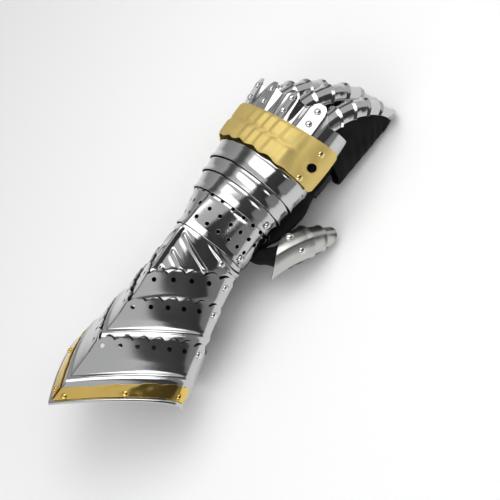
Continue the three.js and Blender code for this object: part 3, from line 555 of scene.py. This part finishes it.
def hammered(y, t):
    """Height of the hammered roll: two bands of flat faces that climb slowly and drop steeply, of uneven
    width, the second band set off by half a face, with a narrow valley between the bands."""
    second = smooth(0.46, 0.54, t)
    uneven = 0.20 * np.sin(y * 0.13 + 1)
    face = np.mod(y / FACET["width"] + uneven + FACET["offset"] * second + FACET["skew"] * t, 1)
    climb = np.interp(face, FACET["climb_at"], FACET["climb"])
    return np.interp(t, FACET["band_at"], FACET["band"]) * (FACET["base"] + FACET["high"] * climb)


_over = 1 - smooth(35, 43, np.abs(_y))
_wavy = 0.9 * np.sin(_y * 0.42) * np.exp(-(_t / 0.10) ** 2) * _over
pale_brass = polished("pale_brass", (0.88, 0.70, 0.27), 0.58, 0.70, 0.06, 30)
_from_lip = np.hypot(_s - _hole_s, _x - EYELET["x"]) - EYELET["radius"] - EYELET["lip_out"]
_lip = EYELET["lip"] * np.exp(-(_from_lip / EYELET["lip_half"]) ** 2)
_points = arm(_x + _wavy, _angle, KNUCKLE["lift"] + _over * hammered(_y, _t) + _lip)
piece("knuckle_brass", [(_points, outward(_points, quads(*_x.shape, _keep)))], pale_brass,
      ["knuckle_plate"], KNUCKLE["wall"], 0.2)
_heads = []
for _rivet in KNUCKLE_RIVETS:
    for _side in (-1, 1):
        _a = _side * math.radians(_rivet["angle"])
        _foot = arm(_rivet["x"], _a, KNUCKLE["lift"])
        _heads.append(dome(_foot, outward_at(_rivet["x"], _a), KNUCKLE["head"], 0.6))
bright_brass = polished("bright_brass", (0.92, 0.74, 0.32), 0.12, 0.18, 0.04, 40)
piece("knuckle_rivets", _heads, bright_brass, weld=True)

# ---- Finger root plate ----
# A steel plate raised into four long flat-topped lobes over the finger roots, deeply creased between
# them, its front edge scalloped and its two flaps running down the sides of the hand.
PITCH = 23.7
ROOT = {
    "back": 102, "front": 141, "flap": 129, "end": 113, "corner_from": 107, "corner": 5, "notch": 6,
    "lift": 0.2, "rise": 4.5, "curl": 0.5, "rivets": (122.7, 134.3),
}
_angle = np.radians(np.linspace(-ROOT["end"], ROOT["end"], 235))[None, :]
_v = np.linspace(0, 1, 42)[:, None]
_y = np.abs(arm(120, _angle, 0)[..., 1])
_middle = np.abs(np.mod(_y / PITCH, 1) - 0.5) * 2
_over = 1 - smooth(42, 47, _y)
_crease = 1 - smooth(0.45, 1.0, _middle)
_notch = ROOT["notch"] * smooth(0.25, 1, np.abs(np.cos(math.pi * _y / PITCH))) * _over
_corner = ROOT["corner"] * smooth(*np.radians([ROOT["corner_from"], ROOT["end"]]), np.abs(_angle))
_front = ROOT["flap"] + (ROOT["front"] - ROOT["flap"]) * _over - _notch - _corner
_x = ROOT["back"] + _v * (_front - ROOT["back"])
_lift = ROOT["lift"] + _over * (_v * ROOT["rise"] * _crease - ROOT["curl"] * smooth(0.93, 1, _v))
_points = arm(_x, _angle + 0 * _x, _lift)
piece("finger_roots", [(_points, outward(_points, quads(*_x.shape)))], steel, ["finger_base_plate"],
      STEEL_WALL, 0.2)

# ---- Finger lames ----
# Half-round steel scales 0.9 mm thick, riveted to the leather stalls and lapped towards the tips like a
# fish's. The free edge of each is cut round and flared off the one after it.
DIGITS = {
    "index": {"root": (132, -35.55, 11.5), "length": 82, "from": 20, "to": 87, "lames": 5},
    "middle": {"root": (133, -11.85, 21.8), "length": 92, "from": 24, "to": 89, "lames": 5},
    "ring": {"root": (133, 11.85, 21.8), "length": 87, "from": 28, "to": 93, "lames": 5},
    "little": {"root": (131, 35.55, 11.5), "length": 64, "from": 25, "to": 93, "lames": 4},
    "thumb": {"root": (27, -46.5, -10), "length": 56, "from": 20, "to": 52, "swing": 14, "lean": 24},
}
DIGIT_BACK = 10.2
LAME_WALL = 0.9
SCALE = {"wrap": 88, "radius": 9.9, "lifts": (-0.25, 0.0, 0.7, 2.3), "tip": 4, "lap": 5, "last": 3}


def digit(spec, distance, angle, radius):
    """A point of a bent digit: its centre line is an arc from one heading below level to another, and the
    point lies a radius from it, turned by the angle from the digit's back."""
    start, end = math.radians(spec["from"]), math.radians(spec["to"])
    bend = spec["length"] / (end - start)
    swing, lean = math.radians(spec.get("swing", 0)), math.radians(spec.get("lean", 0))
    distance, angle, radius = np.broadcast_arrays(distance, angle, radius)
    heading = (start + distance / bend)[..., None]
    forward = np.array([math.cos(swing), -math.sin(swing), 0])
    across = np.array([math.sin(swing), math.cos(swing), 0])
    over = forward * np.sin(heading) + np.array([0, 0, 1]) * np.cos(heading)
    run = bend * (np.sin(heading) - math.sin(start))
    drop = bend * (math.cos(start) - np.cos(heading))
    return (np.array(spec["root"]) + forward * run - np.array([0, 0, 1]) * drop
            - across * (np.sin(angle + lean) * radius)[..., None]
            + over * (np.cos(angle + lean) * radius - DIGIT_BACK)[..., None])


def thins(spec, distance):
    """The digit's width as a share of its root's: full to a little under halfway, then down by 28 in 100."""
    return 1 - 0.28 * smooth(0.45, 1, distance / spec["length"])


def lapped(spec, start, end, wrap, radius, lifts, round_end, slant=0.0, fold=0.0):
    """A lame on a grid of angle and distance: its free edge is drawn back by the power 2.2 of the angle, its
    lift rises to a lip, its other end slants with the angle, and a fold stands up beside the middle."""
    share = np.linspace(-1, 1, 41)[None, :]
    v = np.linspace(0, 1, 30)[:, None]
    back = start - slant * share
    distance = back + v * (end - back - round_end * np.abs(share) ** 2.2)
    lift = np.interp(v, (0, 0.5, 0.86, 1), lifts)
    keel = fold * np.clip(1 - np.abs(share - 0.2) / 0.45, 0, 1)
    points = digit(spec, distance, math.radians(wrap) * share, radius * thins(spec, distance) + lift + keel)
    faces = quads(*points.shape[:2])
    corner = points.reshape(-1, 3)[faces]
    normal = np.cross(corner[:, 1] - corner[:, 0], corner[:, 2] - corner[:, 0])
    centre = digit(spec, distance, 0.0, 0.0).reshape(-1, 3)[faces].mean(1)
    return points, faces[:, ::-1] if (normal * (corner.mean(1) - centre)).sum() < 0 else faces


for _name in ("index", "middle", "ring", "little"):
    _spec = DIGITS[_name]
    _step = (_spec["length"] - SCALE["tip"]) / _spec["lames"]
    for _n in range(_spec["lames"]):
        _last = _n == _spec["lames"] - 1
        _end = (_n + 1) * _step + (SCALE["last"] if _last else 0)
        _scale = lapped(_spec, _n * _step - SCALE["lap"], _end, SCALE["wrap"], SCALE["radius"],
                        SCALE["lifts"], 8 if _last else 5.5)
        piece(f"{_name}_scale_{_n + 1}", [_scale], steel, [f"{_name}_lame_{_n + 1}"],
              LAME_WALL, 0.18)

# ---- Thumb plates ----
# A large ridged base plate, a short middle lame and a tip, of satin-finished steel 0.9 mm thick, riveted to
# the thumb of the glove.
satin = polished("satin_steel", (0.58, 0.58, 0.56), 0.26, 0.36, 0.10, 30)
THUMB_RADIUS = 12.4
THUMB_PLATES = {
    "thumb_base_plate": {"start": 3, "end": 33, "wrap": 78, "round_end": 3, "lifts": (1.2, 1.2, 1.6, 2.6),
                         "slant": 18, "fold": 1.6},
    "thumb_lame": {"start": 27, "end": 46, "wrap": 84, "round_end": 3, "lifts": (0.0, 0.1, 0.5, 1.4),
                   "fold": 0.5},
    "thumb_tip_plate": {"start": 41, "end": 57, "wrap": 84, "round_end": 7, "lifts": (-0.9, -0.9, -0.8, -0.6),
                        "fold": 0.3},
}
for _name, _plate in THUMB_PLATES.items():
    _scale = lapped(DIGITS["thumb"], radius=THUMB_RADIUS, **_plate)
    piece(_name + "_scale", [_scale], satin, [_name], LAME_WALL, 0.18)

# ---- Rivets ----
# Domed steel rivets: one at each end of the cuff, wrist and first hand plates, a pair along each lobe of
# the finger root plate, and two on the thumb's base plate.
rivet_steel = polished("rivet_steel", (0.76, 0.77, 0.78), 0.12, 0.20, 0.05, 60)
RIVET = {"radius": 2.8, "from_end": 0.45, "clear": 0.15}
SIDE_RIVETS = {
    "wrist_plate": {"x": -3, "angle": 62, "lift": 1.5},
    "pierced_wrist_lame": {"x": 8.5, "angle": 84, "lift": 1.5},
    "hand_lame_1": {"x": 40.5, "angle": 84, "lift": 1.4},
}
THUMB_RIVETS = (
    {"distance": 17, "angle": -24, "height": 13.9, "radius": 3.8},
    {"distance": 20, "angle": 38, "height": 15.2, "radius": 2.8},
)
_heads, _named = [], []
for _name, _plate in CUFF.items():
    _angles, _lengths = girth(_plate["ridge"], _plate["end"])
    for _side, _label in ((-1, "outer"), (1, "thumb")):
        _at = _lengths[-1] * (_plate["lobes"] - RIVET["from_end"]) / _plate["lobes"]
        _a = _side * np.interp(_at, _lengths, _angles)
        _x = vee(_plate["ridge"], _plate["slope"], np.array([_a]))[0] - EDGE["hole_in"]
        _lift = EDGE["lift"] * (1 - EDGE["hole_in"] / EDGE["run"]) ** EDGE["curve"] + RIVET["clear"]
        _heads.append(dome(arm(_x, _a, _lift), outward_at(_x, _a), RIVET["radius"]))
        _named.append(f"{_name}_rivet_{_label}")
for _name, _rivet in SIDE_RIVETS.items():
    for _side, _label in ((-1, "outer"), (1, "thumb")):
        _a = _side * math.radians(_rivet["angle"])
        _foot = arm(_rivet["x"], _a, _rivet["lift"])
        _heads.append(dome(_foot, outward_at(_rivet["x"], _a), RIVET["radius"]))
        _named.append(f"{_name}_rivet_{_label}")
for _name in ("index", "middle", "ring", "little"):
    for _n, _x in enumerate(ROOT["rivets"]):
        _a = -math.asin(DIGITS[_name]["root"][1] / float(along(ARM["half_width"], ARM_X, 120)))
        _share = (_x - ROOT["back"]) / (ROOT["front"] - ROOT["back"])
        _lift = ROOT["lift"] + ROOT["rise"] * _share + 2 * RIVET["clear"]
        _heads.append(dome(arm(_x, _a, _lift), outward_at(_x, _a), RIVET["radius"]))
        _named.append(f"{_name}_knuckle_rivet_{_n + 1}")
for _n, _rivet in enumerate(THUMB_RIVETS):
    _distance, _a = np.float64(_rivet["distance"]), math.radians(_rivet["angle"])
    _foot = digit(DIGITS["thumb"], _distance, _a, _rivet["height"])
    _normal = _foot - digit(DIGITS["thumb"], _distance, _a, 0.0)
    _heads.append(dome(_foot, _normal / np.linalg.norm(_normal), _rivet["radius"]))
    _named.append(f"thumb_base_plate_rivet_{_n + 1}")
piece("rivet_heads", _heads, rivet_steel, _named, weld=True)

# ---- Leather glove ----
# A black leather glove 2 mm thick that the armour is riveted to: palm and wrist sewn as one tube, open at
# the wrist, with a stall for each finger and the thumb. The leather is soft, so it sags and creases.
GLOVE_X = np.array([-62, -10, 40, 80, 116], float)
GLOVE = {
    "half_width": np.array([36, 30, 35.5, 43, 45]),
    "back": np.array([25, 26, 28.5, 26, 17]),
    "palm": np.array([24, 23, 28, 39, 44], float),
}
LEATHER_WALL = 2.0
WEB = {"out": 13, "x": 50, "run": 26}
STALL = {"behind": 14, "radius": 8.2, "heel_back": 30, "heel_drop": -43, "tip_under": 7.0}
THUMB_STALL = {"radius": 8.8, "heel": (21, -42.5, -31), "inward": 18}


def black_leather(name, tint, grain, rough):
    """Dull leather: the bump is a noise of soft creases plus a third of the distance to Voronoi pebbles, and
    the creases also make the high spots lighter and a little smoother."""
    finish = bpy.data.materials.new(name)
    finish.use_nodes = True
    nodes, link = finish.node_tree.nodes, finish.node_tree.links.new
    shader = nodes["Principled BSDF"]
    shader.inputs["Specular IOR Level"].default_value = 0.14
    place = nodes.new("ShaderNodeTexCoord").outputs["Object"]
    pebbles = nodes.new("ShaderNodeTexVoronoi")
    pebbles.inputs["Scale"].default_value = grain
    creases = nodes.new("ShaderNodeTexNoise")
    creases.inputs["Scale"].default_value = 70
    creases.inputs["Detail"].default_value = 6
    link(place, pebbles.inputs["Vector"])
    link(place, creases.inputs["Vector"])
    height = nodes.new("ShaderNodeMath")
    height.operation = "MULTIPLY_ADD"
    height.inputs[1].default_value = 0.35
    link(pebbles.outputs["Distance"], height.inputs[0])
    link(creases.outputs["Fac"], height.inputs[2])
    bump = nodes.new("ShaderNodeBump")
    bump.inputs["Strength"].default_value = 0.5
    bump.inputs["Distance"].default_value = 0.0008
    link(height.outputs["Value"], bump.inputs["Height"])
    link(bump.outputs["Normal"], shader.inputs["Normal"])
    ramp = nodes.new("ShaderNodeValToRGB")
    ramp.color_ramp.elements[0].position = 0.3
    ramp.color_ramp.elements[0].color = (*tint, 1)
    ramp.color_ramp.elements[1].position = 0.75
    ramp.color_ramp.elements[1].color = (*[c * 2.2 for c in tint], 1)
    link(creases.outputs["Fac"], ramp.inputs["Fac"])
    link(ramp.outputs["Color"], shader.inputs["Base Color"])
    worn = nodes.new("ShaderNodeMapRange")
    worn.inputs["To Min"].default_value = rough + 0.12
    worn.inputs["To Max"].default_value = rough - 0.12
    link(creases.outputs["Fac"], worn.inputs["Value"])
    link(worn.outputs["Result"], shader.inputs["Roughness"])
    return finish


def full(value, power):
    """A value raised to a power with its sign kept; powers below 1 make an ellipse fuller."""
    return np.sign(value) * np.abs(value) ** power


def palm():
    """The palm tube: an ellipse above and a fuller one below, by a table along the hand, with slack folds as
    two sines and a web that swells out to the thumb as a bell curve, closed at the knuckles."""
    x = np.linspace(GLOVE_X[0], GLOVE_X[-1] - 0.5, 120)[:, None]
    turn = np.linspace(0, 2 * math.pi, 120, endpoint=False)[None, :]
    back = np.cos(turn) >= 0
    fill = np.where(back, 1.0, 0.8)
    width = along(GLOVE["half_width"], GLOVE_X, x)
    high = np.where(back, along(GLOVE["back"], GLOVE_X, x), along(GLOVE["palm"], GLOVE_X, x))
    under = 1 - smooth(-0.2, 0.5, np.cos(turn))
    at_wrist = 0.7 * np.sin(x * 0.42 + 1.3 * np.sin(turn * 2)) * np.exp(-((x - 5) / 28) ** 2)
    at_palm = 0.5 * np.sin(x * 0.21 + 3 * turn) * smooth(20, 60, x)
    slack = under * (at_wrist + at_palm) - 0.4 * under
    sin, cos = np.sin(turn), np.cos(turn)
    on_thumb_side = smooth(0.25, 0.6, -cos) * smooth(0, 0.5, sin)
    web = WEB["out"] * np.exp(-((x - WEB["x"]) / WEB["run"]) ** 2) * on_thumb_side
    y = -(width + slack) * full(sin, fill) - web
    z = (high + slack) * full(cos, fill)
    points = np.stack([x + 0 * turn, y, z], -1)
    close = np.linspace(1, 0.02, 14)[1:, None, None]
    last = points[-1][None]
    cap = last * np.array([1, 0, 0]) + last * np.array([0, 1, 1]) * close
    points = np.concatenate([points, cap])
    return points, outward(points, quads(*points.shape[:2], ring=True))


def stall(spec, heel, radius, inward=0.0):
    """A stall: its back runs under the lames and its underside straight from heel to tip, with a full ellipse
    between the two at each step, closed by a round end."""
    length = spec["length"]
    v = np.linspace(-STALL["behind"], length, 70)[:, None]
    turn = np.linspace(0, 2 * math.pi, 48, endpoint=False)[None, :]
    beyond = np.maximum(v, 0)
    end = 1 - 0.40 * smooth(length - 6, length, v)
    narrow = thins(spec, beyond) * end
    tip = digit(spec, np.float64(length), math.pi, STALL["tip_under"])
    back = digit(spec, v, 0.0, radius * narrow)
    under = np.array(heel) + (tip - np.array(heel)) * ((beyond / length) ** 0.8)[..., None]
    half = (back - under) / 2
    across = digit(spec, v, math.pi / 2, 1.0) - digit(spec, v, math.pi / 2, 0.0)
    sag = 0.35 * np.sin(v * 0.55 + 0.8 * np.cos(turn)) * (1 - smooth(-0.3, 0.3, np.cos(turn))) - 0.3
    points = (back - half + half * full(np.cos(turn), 0.75)[..., None]
              + across * ((radius * narrow + sag) * full(np.sin(turn), 0.75))[..., None])
    points[..., 1] += inward * (1 - smooth(-STALL["behind"], 6, v))
    middle = points.mean(1, keepdims=True)
    close = np.linspace(1, 0.02, 8)[1:, None, None]
    bulge = digit(spec, np.float64(length + 1), 0.0, 0.0) - digit(spec, np.float64(length), 0.0, 0.0)
    cap = middle[-1] + (points[-1][None] - middle[-1]) * close + bulge * 1.2 * np.sqrt(1 - close ** 2)
    points = np.concatenate([points, cap])
    faces = quads(*points.shape[:2], ring=True)
    corner = points.reshape(-1, 3)[faces]
    normal = np.cross(corner[:, 1] - corner[:, 0], corner[:, 2] - corner[:, 0])
    centre = np.concatenate([middle, np.repeat(middle[-1:], 7, 0)]) + 0 * points
    out = corner.mean(1) - centre.reshape(-1, 3)[faces].mean(1)
    return points, faces[:, ::-1] if (normal * out).sum() < 0 else faces


glove_leather = black_leather("glove_leather", (0.003, 0.003, 0.0035), 900, 0.72)
_surfaces = [palm()]
for _name in ("index", "middle", "ring", "little"):
    _root = DIGITS[_name]["root"]
    _heel = (_root[0] - STALL["heel_back"], _root[1], STALL["heel_drop"])
    _surfaces.append(stall(DIGITS[_name], _heel, STALL["radius"]))
_surfaces.append(stall(DIGITS["thumb"], THUMB_STALL["heel"], THUMB_STALL["radius"], THUMB_STALL["inward"]))
piece("black_glove", _surfaces, glove_leather, ["leather_glove"], LEATHER_WALL, weld=True)

# ---- Palm strap ----
# A leather strap 2.4 mm thick round the palm behind the knuckles, cut flat with square edges and sewn
# to the glove along both.
STRAP = {"from": 112, "back": 82, "front": 102, "wall": 2.4, "clear": 0.35}
STITCH = {"deep": 0.35, "in": 2.4, "half": 0.5}
_angle = np.radians(np.linspace(STRAP["from"], 360 - STRAP["from"], 160))[None, :]
_x = np.linspace(STRAP["back"], STRAP["front"], 26)[:, None]
_edge = np.minimum(_x - STRAP["back"], STRAP["front"] - _x)
_stitch = -STITCH["deep"] * np.exp(-((_edge - STITCH["in"]) / STITCH["half"]) ** 2)
_high = STRAP["clear"] + STRAP["wall"] + _stitch
_points = np.stack([
    _x + 0 * _angle,
    -(along(GLOVE["half_width"], GLOVE_X, _x) + _high) * full(np.sin(_angle), 0.8),
    (along(GLOVE["palm"], GLOVE_X, _x) + _high) * full(np.cos(_angle), 0.8),
], -1)
strap_leather = black_leather("strap_leather", (0.012, 0.012, 0.012), 700, 0.7)
piece("strap", [(_points, outward(_points, quads(*_points.shape[:2])))], strap_leather,
      ["palm_strap"], STRAP["wall"], 0.3)

# ---- Floor, light and camera ----
# A plain pale sheet under the gauntlet, a soft panel over the hand, one behind the wrist and a fill, a
# studio whose walls are light with a few dark bands, and a camera that keeps its angle to the arm.
floor_mesh = bpy.data.meshes.new("floor")
_reach = 6.0
_corners = [(-_reach, -_reach, 0), (_reach, -_reach, 0), (_reach, _reach, 0), (-_reach, _reach, 0)]
floor_mesh.from_pydata(_corners, [], [(0, 1, 2, 3)])
pale = bpy.data.materials.new("pale_floor")
pale.use_nodes = True
pale.node_tree.nodes["Principled BSDF"].inputs["Base Color"].default_value = (0.92, 0.92, 0.92, 1)
pale.node_tree.nodes["Principled BSDF"].inputs["Roughness"].default_value = 0.55
floor_mesh.materials.append(pale)
floor = bpy.data.objects.new("floor", floor_mesh)
bpy.context.collection.objects.link(floor)
floor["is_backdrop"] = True

world = bpy.data.worlds.new("studio")
bpy.context.scene.world = world
world.use_nodes = True
_nodes, _link = world.node_tree.nodes, world.node_tree.links.new
_direction = _nodes.new("ShaderNodeTexCoord")
# The studio's walls, as pairs of a place and its grey: a place is how far a direction leans to the far
# side, from 0 at the near side to 1.
WALLS = ((0.09, 0.28), (0.11, 0.05), (0.25, 0.07), (0.36, 0.045), (0.39, 0.74), (0.77, 0.72), (0.80, 0.10),
         (0.87, 0.10), (0.90, 0.60))
_across = _nodes.new("ShaderNodeVectorMath")
_across.operation = "DOT_PRODUCT"
_across.inputs[1].default_value = (0.12, 0.99, 0.0)
_share = _nodes.new("ShaderNodeMapRange")
_share.inputs["From Min"].default_value = -1
_ramp = _nodes.new("ShaderNodeValToRGB")
_ramp.color_ramp.elements[0].color = (0.34, 0.34, 0.34, 1)
_ramp.color_ramp.elements[1].color = (0.40, 0.40, 0.40, 1)
for _at, _grey in WALLS:
    _ramp.color_ramp.elements.new(_at).color = (_grey, _grey, _grey, 1)
_link(_direction.outputs["Generated"], _across.inputs[0])
_link(_across.outputs["Value"], _share.inputs["Value"])
_link(_share.outputs["Result"], _ramp.inputs["Fac"])
_link(_ramp.outputs["Color"], _nodes["Background"].inputs["Color"])
_nodes["Background"].inputs["Strength"].default_value = 0.9


def panel(name, place, target, width, height, power):
    """A soft light: a rectangle of that size at a place, facing its target."""
    light = bpy.data.lights.new(name, "AREA")
    light.shape, light.size, light.size_y, light.energy = "RECTANGLE", width, height, power
    obj = bpy.data.objects.new(name, light)
    obj.location = place
    obj.rotation_euler = (Vector(target) - Vector(place)).to_track_quat("-Z", "Y").to_euler()
    bpy.context.collection.objects.link(obj)
    return obj


panel("hand_panel", (0.265, 0.03, 0.60), (0.265, 0.03, 0), 0.45, 0.46, 1.25)
panel("wrist_panel", (-0.90, -0.50, 0.85), (0, 0, 0.05), 1.20, 0.70, 6)
panel("fill", (0.40, -0.90, 1.40), (0, 0, 0), 1.6, 1.6, 12.5).visible_glossy = False

# The camera's right, up and back in the hand's frame, and how far off the wrist's middle its line of sight
# runs and its eye stands.
CAMERA = {"right": (0.546, -0.609, -0.575), "up": (0.836, 0.357, 0.415), "back": (-0.047, -0.708, 0.705),
          "across": -32.4, "above": -1.8, "distance": 1138.9, "focal": 104.2}
_axes = np.array([CAMERA["right"], CAMERA["up"], CAMERA["back"]])
_eye = -CAMERA["across"] * _axes[0] - CAMERA["above"] * _axes[1] + CAMERA["distance"] * _axes[2]
_origin = lay(np.zeros((1, 3)))[0]
_turned = np.array([lay(axis[None] * 1000)[0] - _origin for axis in _axes])
_turned /= np.linalg.norm(_turned, axis=1)[:, None]
lens = bpy.data.cameras.new("camera")
lens.lens, lens.sensor_width = CAMERA["focal"], 36
lens.clip_start, lens.clip_end = 0.05, 20
camera = bpy.data.objects.new("camera", lens)
_turn = Matrix(_turned.T.tolist()).to_quaternion()
camera.matrix_world = Matrix.LocRotScale(Vector(lay(_eye[None])[0]), _turn, None)
bpy.context.collection.objects.link(camera)
bpy.context.scene.camera = camera
bpy.context.scene.view_settings.view_transform = "Standard"

_low, _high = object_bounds()
